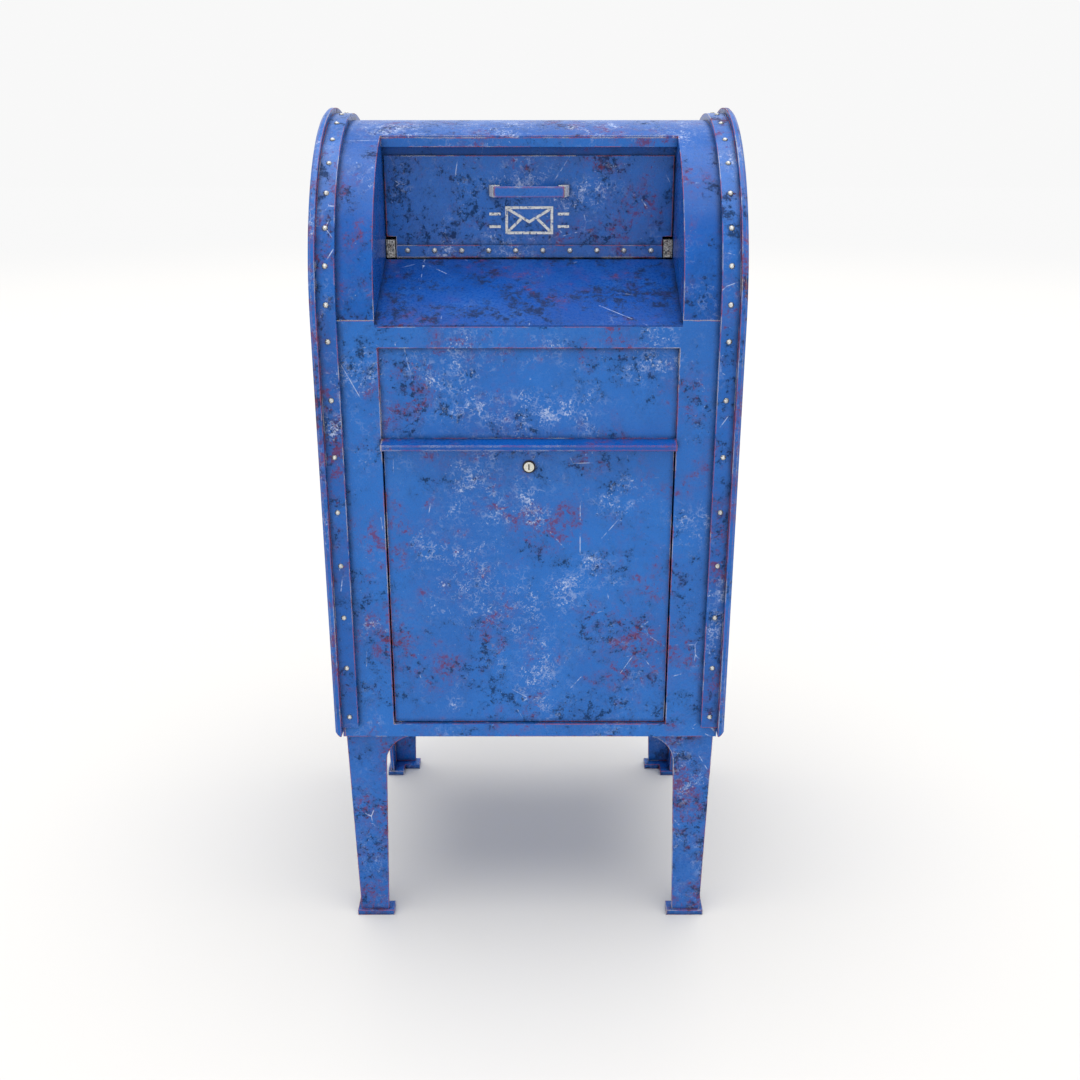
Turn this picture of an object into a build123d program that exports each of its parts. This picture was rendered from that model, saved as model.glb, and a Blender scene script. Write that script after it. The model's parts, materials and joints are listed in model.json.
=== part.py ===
from build123d import *
from math import atan, cos, degrees, radians, sin, tan
import os

os.makedirs("parts", exist_ok=True)

# Free-standing street mailbox. Millimetres. X runs across the box, the front faces -Y, Z is up.
# The origin is on the ground, under the middle of the box. Cabinet parts are drawn with Z = 0 at the
# cabinet's bottom edge, and are lifted by leg_height when they are written.

# Cabinet shell
leg_height = 353.0
wall_height = 652.0
sheet = 3.0
half_width = 305.0
rim_radius = 277.0
rim_width = 9.5
rim_depth = 18.0
rim_chamfer = 3.5
wrap_radius = 259.0
rim_foot_cut = 7.0
skirt_height = 9.0
strip_thick = 10.0
strip_width = 26.2
strip_bottom = 12.0

side_outer = half_width - rim_width
side_inner = side_outer - sheet
wrap_inner = wrap_radius - sheet
strip_radius = wrap_radius + strip_thick
strip_inner_x = side_outer - strip_width

# A coordinate beyond every part of the box, for cutting blocks
beyond = 1000.0

# Edge rivets
rivet_x = 282.4
rivet_top_z = 624.0
rivet_pitch = 84.7
rivets_per_wall = 8
arc_rivets = 16
arc_rivet_start = 5.0
rivet_head_radius = 4.0
rivet_head_height = 2.6
rivet_shank_radius = 2.5
rivet_hole_gap = 0.1
rivet_tail_radius = 3.9
rivet_tail_height = 1.9
rivet_tail_gap = 0.05

# Lower opening, its frame, the fixed panel and the drip rail
opening_half = 214.5
opening_bottom = 13.0
opening_top = 613.0
frame_depth = 20.0
panel_recess = 6.0
rail_bottom = 466.0
rail_top = 474.5
rail_rise = 4.2
rail_flange = 26.0
rail_round = 1.5
strike_bottom = 458.0
strike_top = 498.0

panel_front_y = -wrap_radius + panel_recess
panel_back_y = panel_front_y + sheet
frame_back_y = -wrap_inner + frame_depth

# Deposit window and recess
window_half = 217.5
window_bottom = 646.0
window_angle = 68.3
lip_bottom = 877.0
lip_flange = 26.0
stop_front_y = -76.5
stop_bottom = 857.0
stop_flange = 20.0
recess_floor_sheet = 2.5
recess_floor_drop = 13.5
recess_floor_flange = 18.0
recess_floor_back_y = -86.0
recess_floor_back_z = 713.5
cheek_back_y = -58.0
cheek_below_floor = 16.0
cheek_stop_width = 10.0

lip_y = -wrap_radius * cos(radians(window_angle))
floor_slope = atan((recess_floor_back_z - window_bottom) / (wrap_radius + recess_floor_back_y))

# Deposit door and hopper
hopper_axis_y = -70.0
hopper_axis_z = 727.0
door_front_y = -80.0
door_sheet = 2.0
door_half = 215.5
door_foot_half = 201.5
door_bottom = 714.0
door_notch = 746.5
door_top = 864.0
strip_low_edge = 716.0
strip_high_edge = 734.0
bar_size = 16.0
hinge_pin_radius = 4.0
hinge_pin_depth = 13.0
hinge_block_width = 14.5
hinge_block_front = 14.0
hinge_block_back = 10.0
hinge_block_below = 12.0
hinge_block_above = 15.0
hinge_block_round = 1.2
running_gap = 0.06
press_gap = 0.02
hinge_rivets = 10
hinge_rivet_pitch = 41.0
hinge_rivet_length = 10.0
handle_z = 814.0
handle_height = 16.0
handle_front_half = 52.0
handle_foot_half = 60.0
handle_reach = 28.0
handle_thick = 4.0
handle_round = 1.2
handle_bracket_thick = 4.2
handle_foot_thick = 3.0
handle_foot_width = 16.0
handle_weld_thick = 1.5
hopper_side_x = 200.0
hopper_side_radius = 128.0
guard_slope = 30.0
guard_length = 125.0
weight_width = 22.0
weight_thick = 12.0
weight_half_length = 190.0
weight_from_tip = 14.0
baffle_y = 40.0
baffle_bottom = 835.0
baffle_flange = 24.0
baffle_end_gap = 4.0

door_back_y = door_front_y + door_sheet
bar_half = bar_size / 2

# Collection door on concealed goose-neck hinges
collection_half = 212.5
collection_bottom = 14.5
collection_top = 464.0
collection_fold = 16.0
collection_fold_sheet = 2.0
stiffener_left = -150.0
stiffener_right = 180.0
stiffener_bottom = 225.0
stiffener_top = 265.0
stiffener_depth = 12.0
stiffener_sheet = 2.0
goose_x = -250.0
goose_y = -247.0
goose_heights = {"lower": 96.0, "upper": 396.0}
goose_inner_radius = 40.0
goose_outer_radius = 47.0
goose_arm_height = 12.0
goose_eye_radius = 8.0
goose_leg_angle = 135.0
goose_foot_angle = 17.0
goose_foot_x = 100.0
goose_shank_y = 14.0
goose_bar_width = 8.0
bracket_plate = 4.0
bracket_half_height = 20.0
bracket_ear_gap = 0.6
bracket_back_y = -225.0
bracket_round_room = 9.0
pin_head_height = 2.4

# Lock
lock_z = 436.0
lock_flange_radius = 9.4
lock_body_radius = 8.5
plug_radius = 7.5
lock_back_y = -233.0
cam_thick = 3.0
cam_reach = 34.0
cam_half_width = 7.0
cam_tail = 11.0
cam_round = 5.0
cam_square_half = 4.0
lock_hole_gap = 0.1
lock_face_height = 2.0
lock_nut_thick = 5.0
lock_nut_half_width = 12.0
key_slot_half_width = 0.9
key_slot_half_height = 4.5
key_slot_depth = 12.0
cam_screw_radius = 2.0
cam_screw_length = 9.0
cam_screw_head_radius = 5.5
cam_screw_head = 2.5
driver_slot_half = 0.5

# Legs and foot pads, measured from the ground
leg_sheet = 6.0
leg_front_y = -248.0
leg_top_width = 62.0
leg_foot_width = 46.0
leg_foot_x = 284.0
gusset_radius = 50.0
gusset_start_z = 290.0
pad_thick = 9.5
pad_outer_x = 290.0
pad_outer_y = 252.0
pad_length_x = 61.0
pad_length_y = 52.0
pad_arm_x = 31.0
pad_arm_y = 26.0
leg_flange_x = 104.0
leg_flange_y = 74.0
leg_bolt_radius = 5.0
leg_bolt_gap = 0.3
leg_bolt_spots = ((225.0, 232.0), (205.0, 222.0))
leg_bolt_head = 6.0
leg_nut_height = 8.0


def block(x0, x1, y0, y1, z0, z1):
    """A box between two corners."""
    middle = Pos((x0 + x1) / 2, (y0 + y1) / 2, (z0 + z1) / 2)
    return middle * Box(abs(x1 - x0), abs(y1 - y0), abs(z1 - z0))


def rod_x(radius, x0, x1, y, z):
    """A round bar along X."""
    return Pos((x0 + x1) / 2, y, z) * Rot(0, 90, 0) * Cylinder(radius, abs(x1 - x0))


def rod_y(radius, y0, y1, x, z):
    """A round bar along Y."""
    return Pos(x, (y0 + y1) / 2, z) * Rot(90, 0, 0) * Cylinder(radius, abs(y1 - y0))


def rod_z(radius, z0, z1, x, y):
    """A round bar along Z."""
    return Pos(x, y, (z0 + z1) / 2) * Cylinder(radius, abs(z1 - z0))


def yz_outline(points):
    """A straight-sided outline in the Y-Z plane, as a sketch whose own axes are Y and Z."""
    return make_face(Polyline(*points, close=True))


def along_x(outline, x0, x1):
    """A Y-Z sketch made solid from x0 to x1."""
    return extrude(Plane.YZ.offset(x0) * outline, x1 - x0)


def arch(radius, bottom=0.0):
    """The cabinet's end shape: straight walls with a half-round top."""
    height = wall_height - bottom
    walls = Pos(0, bottom + height / 2) * Rectangle(2 * radius, height)
    return walls + Pos(0, wall_height) * Circle(radius)


def mirrored(part):
    """The same part on the left side."""
    return mirror(part, about=Plane.YZ)


def save(name, *solids, lift=leg_height):
    """Write one node's solids, lifted to their height above the ground."""
    bodies = [solid for part in solids for solid in part.solids()]
    placed = [Pos(0, 0, lift) * body for body in bodies]
    shape = placed[0] if len(placed) == 1 else Compound(children=placed)
    export_step(shape, f"parts/{name}.step")


def edge_rivet_places():
    """Y, Z and outward angle of each rivet of one edge strip, from the front up over to the back.

    The angle is 0 at the front wall, 90 at the top and 180 at the back wall.
    """
    places = []
    for k in range(rivets_per_wall):
        z = rivet_top_z - k * rivet_pitch
        places.append((-strip_radius, z, 0.0))
        places.append((strip_radius, z, 180.0))
    step = (180.0 - 2 * arc_rivet_start) / (arc_rivets - 1)
    for k in range(arc_rivets):
        angle = arc_rivet_start + k * step
        y = -strip_radius * cos(radians(angle))
        z = wall_height + strip_radius * sin(radians(angle))
        places.append((y, z, angle))
    return places


def rivet(grip):
    """A dome-head rivet that stands on Z = 0, with its shank and closed tail below."""
    bulge = (rivet_head_radius ** 2 + rivet_head_height ** 2) / (2 * rivet_head_height)
    ball = Pos(0, 0, rivet_head_height - bulge) * Sphere(bulge)
    head = ball & (Pos(0, 0, rivet_head_height / 2) * Cylinder(rivet_head_radius, rivet_head_height))
    length = grip + rivet_tail_gap + rivet_tail_height
    shank = Pos(0, 0, -length / 2) * Cylinder(rivet_shank_radius, length)
    tail_middle = rivet_tail_height / 2 - length
    tail = Pos(0, 0, tail_middle) * Cylinder(rivet_tail_radius, rivet_tail_height)
    return head + shank + tail


def edge_rivet_spots(x):
    """Where each edge rivet sits, with its own Z pointing outward."""
    return [Pos(x, y, z) * Rot(90 - angle, 0, 0) for y, z, angle in edge_rivet_places()]


def edge_rivet_holes():
    """The drilled holes of both edge strips."""
    drill = Pos(0, 0, -strip_thick) * Cylinder(rivet_shank_radius + rivet_hole_gap, 4 * strip_thick)
    spots = edge_rivet_spots(rivet_x) + edge_rivet_spots(-rivet_x)
    return [spot * drill for spot in spots]


def wrap_shell():
    """The bent sheet of front, hood and back, before its openings."""
    return along_x(arch(wrap_radius) - arch(wrap_inner, -1), -side_inner, side_inner)


def hanging_angle(front_y, low_z, flange_width, half, radius=wrap_inner):
    """A plate with a curved flange behind its top, which lies under a bent sheet of the given radius."""
    inside = Pos(0, wall_height) * Circle(radius)
    high = wall_height + rim_radius
    middle = (low_z + high) / 2
    plate = inside & (Pos(front_y + sheet / 2, middle) * Rectangle(sheet, high - low_z))
    skin = inside - Pos(0, wall_height) * Circle(radius - sheet)
    reach = Pos(front_y + flange_width / 2, high - rim_radius / 2) * Rectangle(flange_width, rim_radius)
    return along_x(plate + (skin & reach), -half, half)


def cabinet_sheets():
    """Front sheet, hood, back sheet and floor."""
    shell = wrap_shell() - edge_rivet_holes()
    lower = block(-opening_half, opening_half, -beyond, 0, opening_bottom, opening_top)
    notch_z = window_bottom - recess_floor_sheet / cos(floor_slope)
    window = block(-window_half, window_half, -beyond, lip_y, notch_z, beyond)
    shell = shell - lower - window
    skirt = block(-side_inner, side_inner, -wrap_radius, -wrap_inner, -skirt_height, 0)
    front = (shell & block(-beyond, beyond, -beyond, 0, -beyond, wall_height)) + skirt
    back = (shell & block(-beyond, beyond, 0, beyond, -beyond, wall_height)) + mirror(skirt, about=Plane.XZ)
    hood = shell & block(-beyond, beyond, -beyond, beyond, wall_height, beyond)
    save("front_sheet", front)
    save("hood_sheet", hood)
    save("back_sheet", back)
    save("floor_pan", floor_pan())


def leg_bolt_places():
    """X and Y of the two bolts of each leg."""
    return [(sx * x, sy * y) for sx in (-1, 1) for sy in (-1, 1) for x, y in leg_bolt_spots]


def floor_pan():
    """The cabinet's floor, drilled for the leg bolts."""
    plate = block(-side_inner, side_inner, -wrap_inner, wrap_inner, 0, sheet)
    drill = [rod_z(leg_bolt_radius + leg_bolt_gap, -sheet, 2 * sheet, x, y) for x, y in leg_bolt_places()]
    return plate - drill


def rim_foot_corner():
    """The wedge cut off the right rim's lower outer corner."""
    inner_x = half_width - rim_foot_cut
    wedge = make_face(Polyline(
        (inner_x - 1, -1), (half_width + 1, -1), (half_width + 1, rim_foot_cut + 1), close=True))
    return extrude(Plane.XZ * wedge, beyond, both=True)


def side_parts():
    """Side panels, raised rims and riveted edge strips."""
    panel = along_x(arch(wrap_radius, -skirt_height), side_inner, side_outer)
    rim_outline = arch(rim_radius) - arch(rim_radius - rim_depth, rim_depth)
    rim = along_x(rim_outline, side_outer, half_width)
    outer_loop = rim.faces().sort_by(Axis.X)[-1].outer_wire().edges()
    rim = chamfer(outer_loop, rim_chamfer) - rim_foot_corner()
    strip = along_x(arch(strip_radius, strip_bottom) - arch(wrap_radius), strip_inner_x, side_outer)
    strip = strip - edge_rivet_holes()
    rivets = [spot * rivet(strip_thick + sheet) for spot in edge_rivet_spots(rivet_x)]
    for side, turn in (("right", lambda part: part), ("left", mirrored)):
        save(f"{side}_side_panel", turn(panel))
        save(f"{side}_rim", turn(rim))
        save(f"{side}_edge_strip", turn(strip))
        save(f"{side}_edge_rivets", *[turn(one) for one in rivets])


def lower_front():
    """Opening frame, fixed upper panel, drip rail and strike bar."""
    outer = block(
        -opening_half - sheet, opening_half + sheet, -wrap_inner, frame_back_y,
        opening_bottom - sheet, opening_top + sheet,
    )
    inner = block(-opening_half, opening_half, -beyond, 0, opening_bottom, opening_top)
    save("opening_frame", outer - inner)
    save("upper_panel", block(
        -opening_half, opening_half, panel_front_y, panel_back_y, rail_top + rail_rise, opening_top))
    rail = yz_outline([
        (-rim_radius, rail_bottom),
        (-rim_radius, rail_top),
        (panel_front_y, rail_top + rail_rise),
        (panel_back_y, rail_top + rail_rise),
        (panel_back_y, rail_top + rail_flange),
        (panel_back_y + sheet, rail_top + rail_flange),
        (panel_back_y + sheet, rail_bottom),
    ])
    rail = along_x(rail, -opening_half, opening_half)
    front_edges = rail.edges().filter_by(Axis.X).sort_by(Axis.Y)[:2]
    save("drip_rail", fillet(front_edges, rail_round))
    save("strike_bar", block(
        -opening_half - sheet, opening_half + sheet, frame_back_y, frame_back_y + sheet,
        strike_bottom, strike_top))


def recess():
    """Window lip, door stop, cheeks, sloping floor and the fixed baffle behind the hopper."""
    save("window_lip", hanging_angle(lip_y, lip_bottom, lip_flange, window_half))
    save("door_stop", hanging_angle(
        stop_front_y, stop_bottom, stop_flange, window_half, wrap_inner - sheet))
    save("inner_baffle", hanging_angle(
        baffle_y, baffle_bottom, baffle_flange, side_inner - baffle_end_gap))
    cheek = arch(wrap_inner) & yz_outline([
        (-wrap_inner, window_bottom - cheek_below_floor),
        (recess_floor_back_y, recess_floor_back_z - cheek_below_floor),
        (cheek_back_y, recess_floor_back_z - cheek_below_floor),
        (cheek_back_y, beyond),
        (-wrap_inner, beyond),
    ])
    cheek = along_x(cheek, window_half, window_half + sheet)
    stop = block(
        window_half - cheek_stop_width, window_half + 1, door_back_y + 2, door_back_y + 4,
        door_notch + 4, door_top - cheek_stop_width)
    save("right_cheek", cheek + stop)
    save("left_cheek", mirrored(cheek + stop))
    save("recess_floor", recess_floor())


def recess_floor():
    """Sloping floor sheet with a flange down at the front and at the back."""
    rise = tan(floor_slope)
    drop = recess_floor_sheet / cos(floor_slope)

    def top(y):
        return window_bottom + (y + wrap_radius) * rise

    back = recess_floor_back_y
    lip = recess_floor_sheet
    outline = yz_outline([
        (-wrap_radius, top(-wrap_radius)),
        (back, top(back)),
        (back, top(back) - recess_floor_drop),
        (back - lip, top(back) - recess_floor_drop),
        (back - lip, top(back - lip) - drop),
        (-wrap_inner + lip, top(-wrap_inner + lip) - drop),
        (-wrap_inner + lip, window_bottom - recess_floor_flange),
        (-wrap_inner, window_bottom - recess_floor_flange),
        (-wrap_inner, top(-wrap_inner) - drop),
        (-wrap_radius, top(-wrap_radius) - drop),
    ])
    return along_x(outline, -window_half, window_half)


def hinge_blocks():
    """Steel blocks on the cheeks that carry the deposit door, and their pins."""
    inner_x = window_half - hinge_block_width
    shape = block(
        inner_x, window_half, hopper_axis_y - hinge_block_front, hopper_axis_y + hinge_block_back,
        hopper_axis_z - hinge_block_below, hopper_axis_z + hinge_block_above)
    front = shape.faces().sort_by(Axis.Y)[0].edges()
    shape = fillet(front, hinge_block_round)
    shape = shape - rod_x(hinge_pin_radius + press_gap, 0, window_half + 1, hopper_axis_y, hopper_axis_z)
    pin = rod_x(hinge_pin_radius, inner_x - hinge_pin_depth, window_half, hopper_axis_y, hopper_axis_z)
    save("right_hinge_block", shape)
    save("left_hinge_block", mirrored(shape))
    save("deposit_hinge_pins", pin, mirrored(pin))


def hinge_rivet_xs():
    """X of each rivet of the deposit door's bottom strip."""
    return [(k - (hinge_rivets - 1) / 2) * hinge_rivet_pitch for k in range(hinge_rivets)]


def handle_hole_places():
    """X of the two rivets that hold the handle brackets."""
    return [-(handle_foot_half - 10), handle_foot_half - 10]


def deposit_door():
    """Door plate with its hinge bar, riveted strip, handle and hopper."""
    upper = block(-door_half, door_half, door_front_y, door_back_y, door_notch, door_top)
    foot = block(-door_foot_half, door_foot_half, door_front_y, door_back_y, door_bottom, door_notch)
    rivet_z = hopper_axis_z - 1
    hole = rivet_shank_radius + rivet_hole_gap
    drills = [rod_y(hole, -beyond, 0, x, rivet_z) for x in hinge_rivet_xs()]
    handle_drills = [rod_y(hole, -beyond, 0, x, handle_z) for x in handle_hole_places()]
    save("deposit_door", upper + foot - drills - handle_drills)

    strip = block(
        -door_foot_half, door_foot_half, door_front_y - sheet, door_front_y, strip_low_edge, strip_high_edge)
    save("door_hinge_strip", strip - drills)

    bar = block(
        -door_foot_half, door_foot_half, door_back_y, door_back_y + bar_size,
        hopper_axis_z - bar_half, hopper_axis_z + bar_half)
    for sign in (-1, 1):
        end = sign * (door_foot_half + 1)
        inner = end - sign * (hinge_pin_depth + 1)
        bar = bar - rod_x(hinge_pin_radius + running_gap, end, inner, hopper_axis_y, hopper_axis_z)
    drill_end = door_front_y - sheet + hinge_rivet_length + 1
    short_drills = [rod_y(hole, -beyond, drill_end, x, rivet_z) for x in hinge_rivet_xs()]
    save("door_hinge_bar", bar - short_drills)

    above_tail = block(-beyond, beyond, -beyond, beyond, -hinge_rivet_length, beyond)
    head = rivet(hinge_rivet_length) & above_tail
    strip_rivets = [
        Pos(x, door_front_y - sheet, rivet_z) * Rot(90, 0, 0) * head for x in hinge_rivet_xs()
    ]
    save("hinge_strip_rivets", *strip_rivets)
    handle()
    hopper()


def handle():
    """Flat pull bar on two slanted steel brackets, riveted to the door."""
    front_y = door_front_y - handle_reach
    back_y = front_y + handle_thick
    z0 = handle_z - handle_height / 2
    z1 = handle_z + handle_height / 2
    bar = block(-handle_front_half, handle_front_half, front_y, back_y, z0, z1)
    long_edges = bar.edges().filter_by(Axis.X)
    save("handle_bar", fillet(long_edges, handle_round))
    lean = (handle_foot_half - handle_front_half) / handle_reach
    corner = handle_front_half + lean * handle_thick
    leg_thick = handle_bracket_thick
    foot_y = door_front_y - handle_foot_thick
    weld_y = back_y + handle_weld_thick
    outline = make_face(Polyline(
        (handle_foot_half, door_front_y),
        (corner, back_y),
        (corner - 2 * leg_thick, back_y),
        (corner - 2 * leg_thick, weld_y),
        (corner - leg_thick, weld_y),
        (handle_foot_half - leg_thick, foot_y),
        (handle_foot_half - handle_foot_width, foot_y),
        (handle_foot_half - handle_foot_width, door_front_y),
        close=True,
    ))
    bracket = Pos(0, 0, z0) * extrude(outline, handle_height)
    drill = rod_y(rivet_shank_radius + rivet_hole_gap, -beyond, 0, handle_hole_places()[1], handle_z)
    bracket = bracket - drill
    save("handle_brackets", bracket, mirrored(bracket))
    pin = Rot(90, 0, 0) * rivet(handle_foot_thick + door_sheet)
    pins = [Pos(x, foot_y, handle_z) * pin for x in handle_hole_places()]
    save("handle_rivets", *pins)


def hopper():
    """Guard plate, its two side plates and the counterweight that shuts the door."""
    slope = radians(guard_slope)
    run = (cos(slope), -sin(slope))
    up = (sin(slope), cos(slope))
    top_z = hopper_axis_z - bar_half
    bend_y = door_back_y + bar_size
    tip = (bend_y + guard_length * run[0], top_z + guard_length * run[1])
    low = (tip[0] - door_sheet * up[0], tip[1] - door_sheet * up[1])
    bend_low_y = bend_y - door_sheet * tan(slope / 2)
    guard = yz_outline([
        (door_back_y, top_z),
        (bend_y, top_z),
        tip,
        low,
        (bend_low_y, top_z - door_sheet),
        (door_back_y, top_z - door_sheet),
    ])
    save("hopper_guard", along_x(guard, -door_foot_half, door_foot_half))

    axis = Pos(hopper_axis_y, hopper_axis_z)
    far = beyond
    behind_door = Pos(door_back_y + far / 2, hopper_axis_z) * Rectangle(far, 2 * far)
    above_guard = yz_outline([
        (door_back_y, top_z),
        (bend_y, top_z),
        (bend_y + far * run[0], top_z + far * run[1]),
        (bend_y + far, top_z + far),
        (door_back_y, top_z + far),
    ])
    bar_room = axis * Rectangle(bar_size, bar_size)
    side = axis * Circle(hopper_side_radius) & behind_door & above_guard
    side = along_x(side - bar_room, hopper_side_x - door_sheet, hopper_side_x)
    save("right_hopper_side", side)
    save("left_hopper_side", mirrored(side))

    middle = guard_length - weight_from_tip
    depth = door_sheet + weight_thick / 2
    place = Pos(bend_y + middle * run[0] - depth * up[0], top_z + middle * run[1] - depth * up[1])
    weight = place * Rot(0, 0, -guard_slope) * Rectangle(weight_width, weight_thick)
    save("counterweight", along_x(weight, -weight_half_length, weight_half_length))


def collection_door():
    """Folded door pan with a hat-section stiffener inside."""
    skin = block(
        -collection_half, collection_half, panel_front_y, panel_back_y, collection_bottom, collection_top)
    fold_back = panel_front_y + collection_fold
    rim = block(
        -collection_half, collection_half, panel_back_y, fold_back, collection_bottom, collection_top)
    wall = collection_fold_sheet
    room = block(
        -collection_half + wall, collection_half - wall, panel_back_y - 1, fold_back + 1,
        collection_bottom + wall, collection_top - wall)
    drill = rod_y(lock_body_radius + lock_hole_gap, -beyond, 0, 0, lock_z)
    save("collection_door", skin + (rim - room) - drill)
    stiffener_back = panel_back_y + stiffener_depth
    outer = block(
        stiffener_left, stiffener_right, panel_back_y, stiffener_back, stiffener_bottom, stiffener_top)
    inner = block(
        stiffener_left - 1, stiffener_right + 1, panel_back_y - 1, stiffener_back - stiffener_sheet,
        stiffener_bottom + sheet, stiffener_top - sheet)
    save("door_stiffener", outer - inner)


def goose_arm():
    """One goose-neck hinge arm about its own pin axis, centred on Z = 0."""
    ring_outer = goose_outer_radius
    ring = Circle(ring_outer) - Circle(goose_inner_radius)
    start = radians(goose_foot_angle)
    stop = radians(goose_leg_angle)
    middle = (start + stop) / 2
    wedge = make_face(Polyline(
        (0, 0),
        (beyond * cos(start), beyond * sin(start)),
        (beyond * cos(middle), beyond * sin(middle)),
        (beyond * cos(stop), beyond * sin(stop)),
        close=True,
    ))
    leg_length = ring_outer - 0.5
    leg = Rot(0, 0, goose_leg_angle) * Pos(leg_length / 2, 0) * Rectangle(leg_length, goose_bar_width)
    shank_left = -collection_half + collection_fold_sheet + 0.1 - goose_x
    skin_y = panel_back_y - goose_y
    shank_middle = Pos((shank_left + ring_outer) / 2, (skin_y + goose_shank_y) / 2)
    shank = shank_middle * Rectangle(ring_outer - shank_left, goose_shank_y - skin_y)
    foot_middle = Pos((shank_left + goose_foot_x) / 2, skin_y + sheet / 2)
    foot = foot_middle * Rectangle(goose_foot_x - shank_left, sheet)
    outline = (ring & wedge) + leg + shank + foot + Circle(goose_eye_radius)
    outline = outline - Circle(hinge_pin_radius + running_gap)
    return extrude(Plane.XY.offset(-goose_arm_height / 2) * outline, goose_arm_height)


def goose_bracket():
    """Bracket with two ears, one above and one below the arm, centred on Z = 0."""
    plate_x = -side_inner + bracket_plate
    front_y = -wrap_inner + 1
    half_height = bracket_half_height
    back = block(-side_inner, plate_x, front_y, bracket_back_y, -half_height, half_height)
    ear_low = goose_arm_height / 2 + bracket_ear_gap
    ears = Part()
    for z in (-ear_low - bracket_plate, ear_low):
        ears = ears + block(
            plate_x, goose_x + bracket_round_room, front_y, goose_y + bracket_round_room,
            z, z + bracket_plate)
    return back + ears - rod_z(hinge_pin_radius + press_gap, -half_height, half_height, goose_x, goose_y)


def goose_pin():
    """Headed hinge pin of a goose-neck arm, centred on Z = 0."""
    ear_top = goose_arm_height / 2 + bracket_ear_gap + bracket_plate
    shank = rod_z(hinge_pin_radius, -ear_top - bracket_plate, ear_top, goose_x, goose_y)
    return shank + rod_z(hinge_pin_radius + 2, ear_top, ear_top + pin_head_height, goose_x, goose_y)


def goose_necks():
    """Both goose-neck hinges of the collection door."""
    pins = []
    for name, z in goose_heights.items():
        save(f"{name}_goose_arm", Pos(goose_x, goose_y, z) * goose_arm())
        save(f"{name}_goose_bracket", Pos(0, 0, z) * goose_bracket())
        pins.append(Pos(0, 0, z) * goose_pin())
    save("goose_neck_pins", *pins)


def lock():
    """Cylinder lock of the collection door, stored unlocked, with the cam to the side."""
    face_y = panel_front_y - lock_face_height
    cam_front = lock_back_y + 0.5
    cam_back = cam_front + cam_thick
    flange = rod_y(lock_flange_radius, face_y, panel_front_y, 0, lock_z)
    body = rod_y(lock_body_radius, panel_front_y, lock_back_y, 0, lock_z)
    bore = rod_y(plug_radius + running_gap, -beyond, 0, 0, lock_z)
    save("lock_housing", flange + body - bore)

    nut = extrude(Plane.XZ * RegularPolygon(lock_nut_half_width, 6, major_radius=False), lock_nut_thick)
    nut = Pos(0, panel_back_y + lock_nut_thick, lock_z) * nut
    save("lock_nut", nut - rod_y(lock_body_radius + press_gap, -beyond, 0, 0, lock_z))

    half = cam_square_half
    tenon = block(-half, half, cam_front, cam_back, lock_z - half, lock_z + half)
    plug = rod_y(plug_radius, face_y - 0.5, cam_front, 0, lock_z) + tenon
    key_slot = block(
        -key_slot_half_width, key_slot_half_width, face_y - 1, face_y + key_slot_depth,
        lock_z - key_slot_half_height, lock_z + key_slot_half_height)
    screw_hole = rod_y(cam_screw_radius + 0.05, cam_back - cam_screw_length - 1, cam_back + 1, 0, lock_z)
    save("lock_plug", plug - key_slot - screw_hole)

    cam = block(
        -cam_tail, cam_reach, cam_front, cam_back, lock_z - cam_half_width, lock_z + cam_half_width)
    ends = cam.edges().filter_by(Axis.Y)
    cam = fillet(ends, cam_round)
    hole = half + 0.05
    save("lock_cam", cam - block(-hole, hole, cam_front - 1, cam_back + 1, lock_z - hole, lock_z + hole))

    screw_end = cam_back + cam_screw_head
    screw_head = rod_y(cam_screw_head_radius, cam_back, screw_end, 0, lock_z)
    screw_shank = rod_y(cam_screw_radius, cam_back - cam_screw_length, cam_back, 0, lock_z)
    driver_slot = block(
        -beyond, beyond, screw_end - 1, screw_end + 1, lock_z - driver_slot_half, lock_z + driver_slot_half)
    save("cam_screw", screw_head + screw_shank - driver_slot)


def leg_outline(outer_top, outer_foot):
    """One face of an angle leg: tapered, with a round gusset where it meets the cabinet."""
    inner_top = outer_top - leg_top_width
    inner_foot = outer_foot - leg_foot_width
    centre = inner_top - gusset_radius
    on_arc = gusset_radius * cos(radians(45))
    edges = Polyline(
        (centre, gusset_start_z + gusset_radius),
        (centre, leg_height),
        (outer_top, leg_height),
        (outer_foot, pad_thick),
        (inner_foot, pad_thick),
        (inner_top, gusset_start_z),
    )
    gusset = ThreePointArc(
        (inner_top, gusset_start_z),
        (centre + on_arc, gusset_start_z + on_arc),
        (centre, gusset_start_z + gusset_radius),
    )
    return make_face(edges + gusset)


def front_right_leg():
    """Angle leg with a top flange that is bolted under the cabinet floor."""
    front = Plane.XZ.offset(-leg_front_y) * leg_outline(side_inner, leg_foot_x)
    front = extrude(front, -leg_sheet)
    tilt = degrees(atan((side_inner - leg_foot_x) / (leg_height - pad_thick)))
    side_plane = Plane(
        origin=(leg_foot_x, 0, pad_thick),
        x_dir=(0, -1, 0),
        z_dir=(-cos(radians(tilt)), 0, sin(radians(tilt))),
    )
    side = side_plane * Pos(0, -pad_thick) * leg_outline(-leg_front_y, -leg_front_y)
    side = extrude(side, leg_sheet)
    top = block(
        side_inner - leg_flange_x, side_inner - leg_sheet, leg_front_y, leg_front_y + leg_flange_y,
        leg_height - leg_sheet, leg_height)
    leg = front + side + top
    leg = leg & block(0, side_inner, leg_front_y, 0, 0, leg_height)
    drills = [rod_z(leg_bolt_radius + leg_bolt_gap, 0, beyond, x, y) for x, y in leg_bolt_places()]
    return leg - drills


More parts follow.
